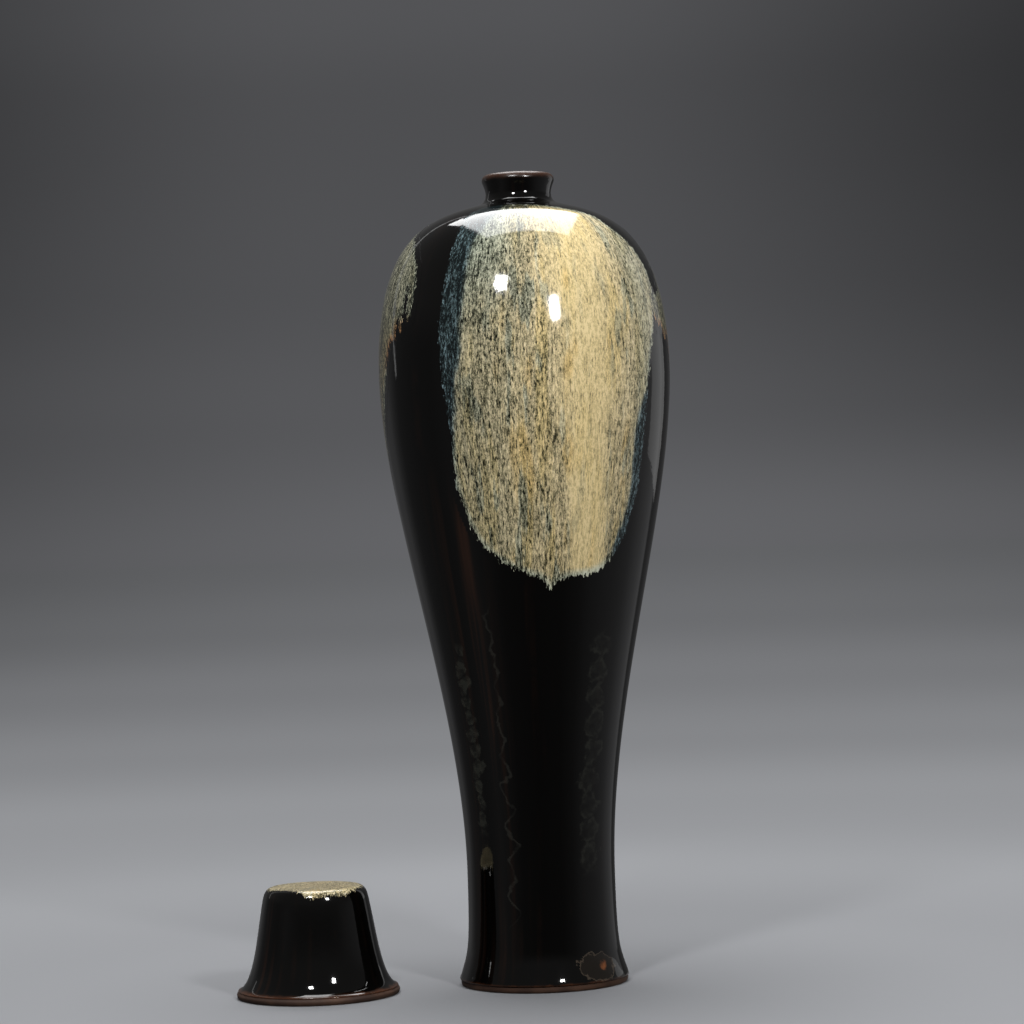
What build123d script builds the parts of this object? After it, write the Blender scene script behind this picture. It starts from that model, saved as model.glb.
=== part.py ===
from build123d import *
import math
import os

# A tall shouldered bottle vase with a small neck, and the hollow cap that belongs on it.
# Millimetres. The vase stands on the XY plane with its axis on +Z and its main splash towards -Y.
# The cap has been taken off, and stands on its rim at the vase's left.

# Vase, outside of its glaze. Heights are from the foot, and drops from the top of the lip.
vase_height = 421.5
foot_radius = 44.1
foot_bead_height = 3.5
foot_edge = 1.8
waist_radius = 38.5
waist_height = 58.0
belly_radius = 75.75
belly_drop = 103.5
neck_root_radius = 24.0
neck_root_drop = 16.6
neck_root_slope = 0.27
neck_radius = 17.05
neck_waist_drop = 10.2
lip_radius = 18.9
lip_drop = 3.3
lip_roll = 2.4

# Vase, clay. The glaze ends on a narrow land around the throat's mouth.
body_wall = 7.0
foot_recess_radius = 33.0
foot_recess_depth = 5.0
floor_thickness = 9.0
heel_height = 33.0
throat_radius = 12.5
throat_drop = 22.0
mouth_land = 0.7
mouth_drop = 2.3
seam_height = 170.0
seam_slope = 0.5
neck_seat_radius = 20.0
neck_seat_drop = 17.5
neck_seat_slope = 0.6

# Glaze layers
glaze_thickness = 0.5
splash_thickness = 0.3

# Splashes: where each faces, and how far it reaches to either side of that at its widest, at its
# tongue and at the neck, all in degrees around the axis, with 0 at the front and + towards +X.
# The two side ones are alike, and end in a tongue.
front_splash_angle = 11.5
front_splash_half_angle = 46.0
front_splash_drop = 211.5
front_splash_widest_drop = 86.5
left_splash_angle = -99.0
right_splash_angle = 112.0
side_splash_half_angle = 46.5
side_splash_drop = 183.5
side_splash_widest_drop = 71.5
side_splash_tongue_half_angle = 17.7
side_splash_tongue_drop = 136.5
splash_neck_half_angle = 43.4

# Cap, outside of its glaze. Drops are from its top, and the rim's edges are in from its widest.
cap_height = 56.0
cap_rim_radius = 42.0
cap_rim_height = 1.9
cap_glaze_line_edge = 0.8
cap_glaze_line_height = 4.0
cap_flare_slope = 0.3
cap_crown_radius = 27.3
cap_crown_drop = 6.3
cap_crown_edge = 5.3
cap_side_lean = 0.2
cap_ground_edge = 1.2

# Cap, clay
cap_wall = 4.5
cap_top_thickness = 5.0
cap_rim_width = 4.8

# The cap's splash covers the top down to a slanting edge: its drop on the axis, and its fall from
# there to the crown's front
cap_splash_drop = 3.6
cap_splash_fall = 2.4

# Where the cap stands: when it is lifted straight up its rim passes the splashed belly with this
# much air, and it stands this many degrees in front of the vase's left
cap_clearance = 0.45
cap_angle = 9.3

# Cuts run past what they cut by this much
overrun = 20.0

# Fullness of each stretch of an outline: how far it holds the way that it starts and the way that
# it ends, as shares of the straight distance between its two ends
foot_shares = (0.05, 0.76)
body_shares = (0.34, 0.27)
shoulder_shares = (0.75, 0.205)
neck_shares = (0.24, 0.54)
flare_shares = (0.4, 0.12)
lip_shares = (0.5, 0.27)
mouth_shares = (0.43, 0.26)
ground_shares = (0.35, 0.35)
floor_shares = (0.4, 0.65)
cap_side_shares = (0.18, 0.362)
cap_shoulder_shares = (0.4, 0.41)
cap_hollow_shares = (0.15, 0.362)
cap_ceiling_shares = (0.1, 0.6)
splash_drip_shares = (0.3, 0.42)
splash_top_shares = (0.3, 0.25)
tongue_drip_shares = (0.35, 0.4)
tongue_side_shares = (0.4, 0.3)

# Ways in the plane of an outline: out from the axis, and up
UP = (0, 1)
DOWN = (0, -1)
OUTWARD = (1, 0)
INWARD = (-1, 0)


def moved(point, way, distance):
    length = math.hypot(*way)
    return (point[0] + distance * way[0] / length, point[1] + distance * way[1] / length)


def inset(stretch, depth):
    """A stretch of outline moved into the wall. It runs upwards on the outside of the wall."""
    start, start_way, end, end_way, shares = stretch
    return (
        moved(start, (-start_way[1], start_way[0]), depth),
        start_way,
        moved(end, (-end_way[1], end_way[0]), depth),
        end_way,
        shares,
    )


def face_on(radius, half_angle):
    """How far from the middle a point that far around the axis shows, seen face on."""
    return radius * math.sin(math.radians(half_angle))


def mirrored(stretch):
    """The same stretch on the other side of the axis, run the other way."""
    start, start_way, end, end_way, shares = stretch
    return (
        (-end[0], end[1]),
        (end_way[0], -end_way[1]),
        (-start[0], start[1]),
        (start_way[0], -start_way[1]),
        shares[::-1],
    )


def curves(stretches):
    """One smooth line in the XZ plane for each stretch."""
    lines = []
    for start, start_way, end, end_way, shares in stretches:
        distance = math.dist(start, end)
        after_start = moved(start, start_way, shares[0] * distance)
        before_end = moved(end, end_way, -shares[1] * distance)
        points = (start, after_start, before_end, end)
        lines.append(Bezier([(out, 0, height) for out, height in points]))
    return lines


def straight(*points):
    return Polyline([(out, 0, height) for out, height in points])


def turned(*lines, turn=360.0):
    """One solid of revolution from the closed outline that the lines make in the XZ plane."""
    return revolve(make_face(lines), Axis.Z, turn)


def layer(outline, depth, over_top=False, turn=360.0):
    """A skin between an outline and the same outline moved in, open or closed at the top."""
    inner = [inset(stretch, depth) for stretch in outline]
    outer_end = outline[-1][2]
    inner_end = inner[-1][2]
    last = straight(outer_end, inner_end)
    if over_top:
        last = straight(outer_end, (0, outer_end[1]), (0, inner_end[1]), inner_end)
    first = straight(outline[0][0], inner[0][0])
    return turned(*curves(outline), *curves(inner), first, last, turn=turn)


def splash(skin, half_outline, angle):
    """A half skin inside an outline that is drawn face on and pushed through it from outside."""
    other_half = [mirrored(stretch) for stretch in half_outline]
    lid = straight(half_outline[-1][2], other_half[-1][0])
    face = make_face([*curves(half_outline), *curves(other_half), lid])
    prism = extrude(face, belly_radius + overrun, dir=(0, -1, 0))
    return Rot(0, 0, angle) * (skin & prism)


# Vase: one outline for the glaze's surface, and the clay's surface just under it
bead = (foot_radius, foot_bead_height)
waist = (waist_radius, waist_height)
belly = (belly_radius, vase_height - belly_drop)
neck_root = (neck_root_radius, vase_height - neck_root_drop)
neck_root_way = (-1, neck_root_slope)
neck_waist = (neck_radius, vase_height - neck_waist_drop)
lip = (lip_radius, vase_height - lip_drop)
lip_top = (lip_radius - lip_roll, vase_height)
mouth = (throat_radius + mouth_land, vase_height - mouth_drop)

body_stretch = (waist, UP, belly, UP, body_shares)
shoulder_stretch = (belly, UP, neck_root, neck_root_way, shoulder_shares)
glaze_outline = [
    (bead, UP, waist, UP, foot_shares),
    body_stretch,
    shoulder_stretch,
    (neck_root, neck_root_way, neck_waist, UP, neck_shares),
    (neck_waist, UP, lip, UP, flare_shares),
    (lip, UP, lip_top, INWARD, lip_shares),
    (lip_top, INWARD, mouth, DOWN, mouth_shares),
]
clay_outline = [inset(stretch, glaze_thickness) for stretch in glaze_outline]
clay_bead = clay_outline[0][0]
clay_mouth = clay_outline[-1][2]

# The inside follows the outside a wall's thickness in, from the heel up to the throat
inside_outline = [
    inset(stretch, glaze_thickness + body_wall) for stretch in (body_stretch, shoulder_stretch)
]
inside_waist = inside_outline[0][0]
inside_root = inside_outline[-1][2]
heel = (inside_waist[0], heel_height)
floor_middle = (0, foot_recess_depth + floor_thickness)
foot_ground = (foot_radius - foot_edge, 0)
throat_bottom = (throat_radius, vase_height - throat_drop)

wall = turned(
    straight(
        floor_middle,
        (0, foot_recess_depth),
        (foot_recess_radius, foot_recess_depth),
        (foot_recess_radius, 0),
        foot_ground,
    ),
    *curves([(foot_ground, OUTWARD, clay_bead, UP, ground_shares)]),
    *curves(clay_outline),
    straight(clay_mouth, (throat_radius, clay_mouth[1]), throat_bottom, inside_root),
    *curves(inside_outline),
    straight(inside_waist, heel),
    *curves([(heel, DOWN, floor_middle, INWARD, floor_shares)]),
)

# The lower section ends in a bevel that the upper one sits over
seam_outer_height = seam_height - seam_slope * (belly_radius - waist_radius)
seam_inner_height = seam_height + seam_slope * waist_radius
seam_cutter = turned(
    straight(
        (0, -overrun),
        (belly_radius, -overrun),
        (belly_radius, seam_outer_height),
        (0, seam_inner_height),
        (0, -overrun),
    )
)
# The neck sits in a flared hole in the shoulder
neck_seat_height = vase_height - neck_seat_drop
seat_bottom = throat_bottom[1] - body_wall
seat_top = vase_height + overrun
seat_bottom_radius = neck_seat_radius - neck_seat_slope * (neck_seat_height - seat_bottom)
seat_top_radius = neck_seat_radius + neck_seat_slope * (seat_top - neck_seat_height)
neck_cutter = turned(
    straight(
        (0, seat_bottom),
        (seat_bottom_radius, seat_bottom),
        (seat_top_radius, seat_top),
        (0, seat_top),
        (0, seat_bottom),
    )
)
lower_body = wall & seam_cutter
neck_and_mouth = wall & neck_cutter
upper_body = wall - seam_cutter - neck_cutter

body_glaze = layer(glaze_outline, glaze_thickness)

# Splashes lie on the glaze's front half, each before it is turned the way it faces
splash_outline = [inset(stretch, -splash_thickness) for stretch in (body_stretch, shoulder_stretch)]
splash_skin = Rot(0, 0, 180) * layer(splash_outline, splash_thickness, turn=180.0)
neck_edge = (face_on(neck_root_radius, splash_neck_half_angle), neck_root[1])
front_widest = (
    face_on(belly_radius, front_splash_half_angle),
    vase_height - front_splash_widest_drop,
)
front_bottom = (0, vase_height - front_splash_drop)
front_outline = [
    (front_bottom, OUTWARD, front_widest, UP, splash_drip_shares),
    (front_widest, UP, neck_edge, neck_root_way, splash_top_shares),
]
# The side ones narrow to a tongue below the belly
side_bottom = (0, vase_height - side_splash_drop)
tongue = (
    face_on(belly_radius, side_splash_tongue_half_angle),
    vase_height - side_splash_tongue_drop,
)
tongue_way = (tongue[0] - side_bottom[0], tongue[1] - side_bottom[1])
side_widest = (
    face_on(belly_radius, side_splash_half_angle),
    vase_height - side_splash_widest_drop,
)
side_outline = [
    (side_bottom, OUTWARD, tongue, tongue_way, tongue_drip_shares),
    (tongue, tongue_way, side_widest, UP, tongue_side_shares),
    (side_widest, UP, neck_edge, neck_root_way, splash_top_shares),
]
front_splash = splash(splash_skin, front_outline, front_splash_angle)
left_splash = splash(splash_skin, side_outline, left_splash_angle)
right_splash = splash(splash_skin, side_outline, right_splash_angle)

# Cap: the same two surfaces
cap_glaze_line = (cap_rim_radius - cap_glaze_line_edge, cap_glaze_line_height)
cap_flare_way = (-1, cap_flare_slope)
cap_crown = (cap_crown_radius, cap_height - cap_crown_drop)
cap_side_way = (-cap_side_lean, 1)
cap_flat = (cap_crown_radius - cap_crown_edge, cap_height)
cap_side_stretch = (cap_glaze_line, cap_flare_way, cap_crown, cap_side_way, cap_side_shares)
cap_glaze_outline = [
    cap_side_stretch,
    (cap_crown, cap_side_way, cap_flat, INWARD, cap_shoulder_shares),
]
cap_clay_outline = [inset(stretch, glaze_thickness) for stretch in cap_glaze_outline]
cap_clay_rim = cap_clay_outline[0][0]
cap_clay_flat = cap_clay_outline[-1][2]

# The cap's hollow follows the side a wall's thickness in, and flares to the rim's inner edge
cap_ground_radius = cap_rim_radius - cap_ground_edge
cap_inner_edge = (cap_rim_radius - cap_rim_width, 0)
cap_hollow_crown = inset(cap_side_stretch, glaze_thickness + cap_wall)[2]
cap_ceiling = (0, cap_clay_flat[1] - cap_top_thickness)
cap_hollow_outline = [
    (cap_inner_edge, (-1, 1), cap_hollow_crown, cap_side_way, cap_hollow_shares),
    (cap_hollow_crown, cap_side_way, cap_ceiling, INWARD, cap_ceiling_shares),
]

cap_bell = turned(
    straight(cap_inner_edge, (cap_ground_radius, 0)),
    ThreePointArc(
        (cap_ground_radius, 0, 0),
        (cap_rim_radius, 0, cap_rim_height),
        (cap_clay_rim[0], 0, cap_clay_rim[1]),
    ),
    *curves(cap_clay_outline),
    straight(cap_clay_flat, (0, cap_clay_flat[1]), cap_ceiling),
    *curves(cap_hollow_outline),
)
cap_glaze = layer(cap_glaze_outline, glaze_thickness, over_top=True)
cap_splash_outline = [inset(stretch, -splash_thickness) for stretch in cap_glaze_outline]
cap_splash_skin = layer(cap_splash_outline, splash_thickness, over_top=True)
cap_splash_slant = math.degrees(math.atan(cap_splash_fall / cap_crown_radius))
cap_splash_size = 2 * (cap_rim_radius + overrun)
cap_splash_cutter = Box(
    cap_splash_size,
    cap_splash_size,
    cap_splash_size,
    align=(Align.CENTER, Align.CENTER, Align.MIN),
)
cap_splash_place = Pos(0, 0, cap_height - cap_splash_drop) * Rot(cap_splash_slant, 0, 0)
cap_splash = cap_splash_skin & (cap_splash_place * cap_splash_cutter)

cap_distance = belly_radius + splash_thickness + cap_clearance + cap_rim_radius
cap_place = Rot(0, 0, cap_angle) * Pos(-cap_distance, 0, 0) * Rot(0, 0, -cap_angle)

nodes = {
    "lower_body": lower_body,
    "upper_body": upper_body,
    "neck_and_mouth": neck_and_mouth,
    "body_glaze": body_glaze,
    "front_splash": front_splash,
    "left_splash": left_splash,
    "right_splash": right_splash,
    "cap_bell": cap_place * cap_bell,
    "cap_glaze": cap_place * cap_glaze,
    "cap_splash": cap_place * cap_splash,
}

os.makedirs("parts", exist_ok=True)
for name, shape in nodes.items():
    shape.label = name
    export_step(shape, f"parts/{name}.step")
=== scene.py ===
import math
from bisect import bisect
from collections import namedtuple

import bmesh
import bpy
from mathutils import Color, Matrix, Vector
from mathutils.geometry import interpolate_bezier
from mathutils.kdtree import KDTree


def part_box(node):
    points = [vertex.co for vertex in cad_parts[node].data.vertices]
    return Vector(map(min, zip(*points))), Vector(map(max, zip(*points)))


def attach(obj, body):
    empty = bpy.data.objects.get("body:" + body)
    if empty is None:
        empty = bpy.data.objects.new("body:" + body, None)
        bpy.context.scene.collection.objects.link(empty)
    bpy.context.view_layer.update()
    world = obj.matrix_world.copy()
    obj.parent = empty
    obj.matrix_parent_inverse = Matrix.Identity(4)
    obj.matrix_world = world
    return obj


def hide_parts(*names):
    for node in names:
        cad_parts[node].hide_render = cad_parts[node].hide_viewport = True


# A tall shouldered bottle vase in black glaze with pale splashes, and its cap standing beside it.
# Outlines are in millimetres, (out from the axis, up), and meshes are in metres.
# Azimuths are degrees round the axis: 0 is the front, -Y, and 90 is the vase's own +X side.

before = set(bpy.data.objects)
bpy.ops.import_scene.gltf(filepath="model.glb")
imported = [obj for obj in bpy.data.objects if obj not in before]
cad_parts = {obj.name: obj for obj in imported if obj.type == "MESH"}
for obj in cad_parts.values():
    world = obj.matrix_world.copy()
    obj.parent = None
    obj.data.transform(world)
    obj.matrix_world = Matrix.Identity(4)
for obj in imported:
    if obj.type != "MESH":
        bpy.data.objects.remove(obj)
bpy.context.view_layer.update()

bl_info = {
    "name": "Meiping Vase",
    "version": (1, 0, 0),
    "blender": (4, 5, 0),
    "location": "3D View > Sidebar > Vase",
    "description": "Models a splash-glazed meiping vase, its cap and the studio round them",
    "category": "Object",
}

MM = 0.001
UP = (0, 1)
DOWN = (0, -1)
OUTWARD = (1, 0)
INWARD = (-1, 0)

coat_low, coat_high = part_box("body_glaze")
cap_low, cap_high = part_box("cap_bell")
VASE_HEIGHT = coat_high.z / MM
BELLY_RADIUS = (coat_high.x - coat_low.x) / 2 / MM
CAP_CENTRE = (cap_low + cap_high) / 2 / MM
CAP_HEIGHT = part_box("cap_glaze")[1].z / MM


def a_thickness(name, description, default, least, most):
    return bpy.props.FloatProperty(
        name=name, description=description, default=default, min=least, max=most, precision=5,
        unit="LENGTH")


def a_colour(name, description, default):
    return bpy.props.FloatVectorProperty(
        name=name, description=description, default=default, size=3, subtype="COLOR_GAMMA",
        min=0, max=1)


def a_brightness(name, description, default):
    return bpy.props.FloatProperty(name=name, description=description, default=default, min=0)


class VaseShape(bpy.types.PropertyGroup):
    coat_thickness: a_thickness(
        "Glaze thickness", "Thickness of the black glaze", 0.0005, 0.0002, 0.0015)
    splash_thickness: a_thickness(
        "Splash thickness", "Most that a splash stands proud of the black glaze", 0.00016, 0.0001,
        0.001)
    body_wall: a_thickness("Body wall", "Thickness of the vase's clay wall", 0.007, 0.004, 0.01)
    cap_wall: a_thickness("Cap wall", "Thickness of the cap's clay wall", 0.0045, 0.003, 0.006)


class GlazeLook(bpy.types.PropertyGroup):
    black: a_colour(
        "Black glaze", "Colour of the black glaze under its gloss", (0.017, 0.015, 0.013))
    rust: a_colour(
        "Rust breaks", "Brown where the glaze runs thin over an edge", (0.34, 0.20, 0.12))
    cream: a_colour("Cream", "Tint of the splashes where they lie thick", (1.0, 0.975, 0.895))
    amber: a_colour("Amber", "Tint of the warm streaks in the splashes", (1.0, 0.954, 0.805))
    frost: a_colour("Frost", "Tint where a splash lies thinner and bluish", (0.86, 0.95, 1.0))
    ochre: a_colour(
        "Ochre", "Tint of the small orange patches in the splashes", (1.0, 0.90, 0.665))
    ink: a_colour(
        "Ink blue", "Tint where a splash lies thinnest over the black", (0.66, 0.82, 1.0))
    clay: a_colour("Clay", "Colour of the bare fired clay", (0.31, 0.21, 0.15))


class StudioLook(bpy.types.PropertyGroup):
    softbox: a_brightness("Softbox", "Brightness of the softbox overhead", 6.6)
    spots: a_brightness("Front lamps", "Brightness of the two front lamps", 108.0)
    panel: a_brightness("Side panel", "Brightness of the tall side panel", 0.36)
    strip: a_brightness("Left strip", "Brightness of the narrow strip at the left", 0.7)


def linear(colour):
    """A colour as it shows, made ready for a shader's socket."""
    return (*Color(colour[:3]).from_srgb_to_scene_linear(), 1.0)


# ---- Outlines


def moved(point, way, distance):
    length = math.hypot(*way)
    return (point[0] + distance * way[0] / length, point[1] + distance * way[1] / length)


def inset(stretch, depth):
    """A stretch of outline moved into the wall. It runs upwards on the outside of the wall."""
    start, start_way, end, end_way, shares = stretch
    return (
        moved(start, (-start_way[1], start_way[0]), depth), start_way,
        moved(end, (-end_way[1], end_way[0]), depth), end_way, shares)


def run(stretches, spacing, depth=0.0):
    """Points along smooth stretches, about so far apart, and so deep in the wall."""
    points = []
    for stretch in stretches:
        start, start_way, end, end_way, shares = inset(stretch, depth)
        distance = math.dist(start, end)
        after_start = moved(start, start_way, shares[0] * distance)
        before_end = moved(end, end_way, -shares[1] * distance)
        knots = [Vector(p) for p in (start, after_start, before_end, end)]
        count = max(6, round(distance * 1.05 / spacing))
        points += [tuple(p)[:2] for p in interpolate_bezier(*knots, count + 1)][len(points) > 0:]
    return points


# The vase's outline, outside its glaze, from the glaze line at the foot up and over the lip
VASE_BEAD = (44.1, 3.5)
FOOT_COVE = (42.85, 7.4)
VASE_WAIST = (38.5, 58.0)
VASE_BELLY = (BELLY_RADIUS, VASE_HEIGHT - 103.5)
NECK_ROOT = (24.0, VASE_HEIGHT - 16.6)
NECK_WAIST = (17.05, VASE_HEIGHT - 10.2)
LIP = (18.9, VASE_HEIGHT - 3.3)
LIP_TOP = (16.5, VASE_HEIGHT)
MOUTH = (13.2, VASE_HEIGHT - 2.3)
BODY = (VASE_WAIST, UP, VASE_BELLY, UP, (0.34, 0.27))
SHOULDER = (VASE_BELLY, UP, NECK_ROOT, (-1, 0.27), (0.75, 0.205))
VASE_SURFACE = [
    (VASE_BEAD, UP, FOOT_COVE, (-0.33, 1), (0.2, 0.3)),
    (FOOT_COVE, (-0.33, 1), VASE_WAIST, UP, (0.22, 0.72)),
    BODY,
    SHOULDER,
    (NECK_ROOT, (-1, 0.27), NECK_WAIST, UP, (0.24, 0.54)),
    (NECK_WAIST, UP, LIP, UP, (0.4, 0.12)),
    (LIP, UP, LIP_TOP, INWARD, (0.5, 0.27)),
    (LIP_TOP, INWARD, MOUTH, DOWN, (0.43, 0.26)),
]
# The clay under it: the ring that the vase stands on, the hollow under the foot, and the inside
GROUND_EDGE = (42.3, 0.0)
FOOT_RECESS = [
    (0.0, 5.0), (32.2, 5.0), (32.8, 4.7), (33.0, 4.1), (33.0, 0.5), (33.4, 0.1), (34.0, 0.0)]
FLOOR_TOP = (0.0, 14.0)
HEEL_HEIGHT = 33.0
THROAT_RADIUS = 12.5
THROAT_DEPTH = 22.0
# Where the thrown sections were luted: a point in each seam, and the way that it faces, upwards
BODY_SEAM = ((38.5, 170.0), (0.5, 1.0))
NECK_SEAM = ((20.0, VASE_HEIGHT - 17.5), (-1.0, 0.6))

CAP_GLAZE_LINE = (41.2, 4.0)
CAP_CROWN = (27.3, CAP_HEIGHT - 6.3)
CAP_LEAN = (-0.2, 1)
CAP_FLAT = (22.0, CAP_HEIGHT)
CAP_SIDE = (CAP_GLAZE_LINE, (-1, 0.3), CAP_CROWN, CAP_LEAN, (0.18, 0.362))
CAP_SHOULDER = (CAP_CROWN, CAP_LEAN, CAP_FLAT, INWARD, (0.4, 0.41))
CAP_SURFACE = [CAP_SIDE, CAP_SHOULDER]
CAP_RIM_INSIDE = (37.2, 0.0)
CAP_RIM_GROUND = (40.8, 0.0)
CAP_RIM = (42.0, 1.9)
CAP_TOP_THICKNESS = 5.0


# ---- Meshes


def outline_loop(points, closed=True):
    """A loose loop of vertices and edges in the XZ plane."""
    shell = bmesh.new()
    vertices = [shell.verts.new((out * MM, 0, up * MM)) for out, up in points]
    follow = vertices[1:] + (vertices[:1] if closed else [])
    for pair in zip(vertices, follow):
        shell.edges.new(pair)
    return shell


# A turned shape is spun in part and then doubled three times
SPIN_PARTS = 8


def turned(shell, steps, start=-180.0, sweep=360.0):
    """The loop turned about the axis, from one azimuth through a sweep, with its poles closed."""
    first = math.radians(sweep) / SPIN_PARTS
    bmesh.ops.rotate(
        shell, verts=shell.verts, cent=(0, 0, 0),
        matrix=Matrix.Rotation(math.radians(start - 90), 3, "Z"))
    bmesh.ops.spin(
        shell, geom=shell.verts[:] + shell.edges[:], cent=(0, 0, 0), axis=(0, 0, 1),
        dvec=(0, 0, 0), angle=first, steps=steps // SPIN_PARTS, use_merge=False,
        use_duplicate=False)
    done = 1
    while done < SPIN_PARTS:
        again = bmesh.ops.duplicate(shell, geom=shell.verts[:] + shell.edges[:] + shell.faces[:])
        bmesh.ops.rotate(
            shell, verts=[v for v in again["geom"] if isinstance(v, bmesh.types.BMVert)],
            cent=(0, 0, 0), matrix=Matrix.Rotation(done * first, 3, "Z"))
        done *= 2
    bmesh.ops.remove_doubles(shell, verts=shell.verts, dist=1e-6)
    bmesh.ops.recalc_face_normals(shell, faces=shell.faces)
    return shell


def cut(shell, point, way):
    """Keeps the part of a flat outline behind a line through a point, square to a way."""
    rim = bmesh.ops.holes_fill(shell, edges=shell.edges, sides=0)
    if not rim["faces"]:
        bmesh.ops.contextual_create(shell, geom=shell.edges[:])
    bmesh.ops.bisect_plane(
        shell, geom=shell.verts[:] + shell.edges[:] + shell.faces[:], dist=1e-8,
        plane_co=(point[0] * MM, 0, point[1] * MM), plane_no=(way[0], 0, way[1]),
        clear_outer=True)
    return shell


def piece(name, shell, body, nodes, material, centre=(0, 0), sharp=()):
    """A finished object from a shell, riding on a body and standing for its CAD nodes."""
    bmesh.ops.translate(shell, verts=shell.verts, vec=(centre[0] * MM, centre[1] * MM, 0))
    for face in shell.faces:
        face.smooth = True
    for edge in sharp:
        edge.smooth = False
    mesh = bpy.data.meshes.new(name)
    shell.to_mesh(mesh)
    shell.free()
    mesh.materials.append(material)
    made = bpy.data.objects.new(name, mesh)
    bpy.context.scene.collection.objects.link(made)
    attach(made, body)
    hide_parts(*nodes)


# ---- Shader wiring


class Wiring:
    """Adds nodes to one node tree, each linked to what feeds it as it is made."""

    def __init__(self, tree):
        self.tree = tree
        tree.nodes.clear()

    def add(self, kind, sockets, **settings):
        node = self.tree.nodes.new("ShaderNode" + kind)
        for key, value in settings.items():
            setattr(node, key, value)
        for key, value in sockets.items():
            self.feed(node, key, value)
        return node

    def feed(self, node, key, value):
        if isinstance(value, bpy.types.NodeSocket):
            self.tree.links.new(value, node.inputs[key])
        else:
            node.inputs[key].default_value = value

    def math(self, operation, *values, clamp=False):
        return self.add(
            "Math", dict(enumerate(values)), operation=operation, use_clamp=clamp).outputs[0]

    def times(self, first, *factors):
        for factor in factors:
            first = self.math("MULTIPLY", first, factor)
        return first

    def plus(self, first, second, share=None):
        """The sum of a value and another, or a share of another."""
        if share is None:
            return self.math("ADD", first, second)
        return self.math("MULTIPLY_ADD", second, share, first)

    def minus(self, first, second):
        return self.math("SUBTRACT", first, second)

    def larger(self, first, second):
        return self.math("MAXIMUM", first, second)

    def vector(self, operation, *values):
        return self.add(
            "VectorMath", dict(enumerate(values)), operation=operation).outputs[0]

    def blend(self, factor, first, second, kind="MIX"):
        node = self.add("Mix", {0: factor}, data_type="RGBA", blend_type=kind)
        self.feed(node, 6, first)
        self.feed(node, 7, second)
        return node.outputs[2]

    def spread(self, value, low, high, to_low=0.0, to_high=1.0, kind="SMOOTHSTEP"):
        """A value eased from one range to another."""
        return self.add(
            "MapRange", {0: value, 1: low, 2: high, 3: to_low, 4: to_high},
            interpolation_type=kind).outputs[0]

    def noise(self, vector, scale, detail=2.0, roughness=0.5):
        return self.add("TexNoise", {
            "Vector": vector, "Scale": scale, "Detail": detail, "Roughness": roughness}).outputs[0]

    def length(self, first, second):
        """The length over two sides at right angles."""
        return self.math("SQRT", self.plus(self.times(first, first), self.times(second, second)))

    def attribute(self, name):
        return self.add("Attribute", {}, attribute_name=name).outputs["Fac"]

    def ramp(self, value, stops, interpolation="LINEAR"):
        node = self.add("ValToRGB", {0: value})
        band = node.color_ramp
        band.interpolation = interpolation
        while len(band.elements) < len(stops):
            band.elements.new(0.5)
        for element, (place, colour) in zip(band.elements, stops):
            element.position = place
            element.color = colour
        return node.outputs[0]


def new_material(name):
    material = bpy.data.materials.new(name)
    material.use_nodes = True
    return material, Wiring(material.node_tree)


# Where a point is on a turned surface: its place in millimetres, its azimuth in degrees, its
# height, its distance from the axis, and a vector for patterns that run down the surface
Places = namedtuple("Places", "point azimuth height out down")
PATTERN_GIRTH = 60.0


def surface_places(wire, centre=(0.0, 0.0)):
    point = wire.add("TexCoord", {}).outputs["Object"]
    point = wire.vector("SUBTRACT", point, (centre[0] * MM, centre[1] * MM, 0.0))
    point = wire.vector("MULTIPLY", point, (1 / MM, 1 / MM, 1 / MM))
    x, y, height = wire.add("SeparateXYZ", {0: point}).outputs
    out = wire.larger(wire.length(x, y), 0.01)
    azimuth = wire.math("ARCTAN2", x, wire.times(y, -1.0))
    azimuth = wire.times(azimuth, math.degrees(1.0))
    down = wire.minus(height, wire.times(out, 0.8))
    down = wire.add("CombineXYZ", {
        0: wire.times(wire.math("DIVIDE", x, out), PATTERN_GIRTH),
        1: wire.times(wire.math("DIVIDE", y, out), PATTERN_GIRTH),
        2: down}).outputs[0]
    return Places(point, azimuth, height, out, down)


def stretched(wire, vector, along):
    """The pattern's place with its run down the surface drawn out so many times."""
    return wire.vector("MULTIPLY", vector, (1.0, 1.0, 1.0 / along))


def patches(wire, vector, along, scale, low, high, most=1.0):
    """Soft patches where drawn-out noise is high."""
    return wire.spread(wire.noise(stretched(wire, vector, along), scale), low, high, 0.0, most)


def summed_noise(wire, vector, layers, drawn_out=True):
    """Noise in several sizes, each drawn out down the pot, added up about nought."""
    level = 0.0
    for scale, along, share in layers:
        spots = wire.noise(stretched(wire, vector, along if drawn_out else 1.0), scale, 1.5, 0.6)
        level = wire.plus(level, wire.minus(spots, 0.5), share)
    return level


# ---- Black glaze

# Where the glaze runs thin over an edge: from a height to a height, and how brown it gets
VASE_BREAKS = ((4.8, 3.0, 0.65), (VASE_HEIGHT - 4.2, VASE_HEIGHT - 0.4, 0.42))
CAP_BREAKS = ((5.6, 3.6, 0.75),)
# Where the lip is rubbed dull
DULL_FROM = VASE_HEIGHT - 4.6
COAT_ROUGHNESS = 0.05
DULL_ROUGHNESS = 0.34
BLOTCH_GREY = (0.47, 0.48, 0.43)
LINE_GREY = (0.5, 0.5, 0.46)
PATCH_GREY = (0.50, 0.44, 0.38)
SPOT_BROWN = (0.52, 0.31, 0.18)


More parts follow.
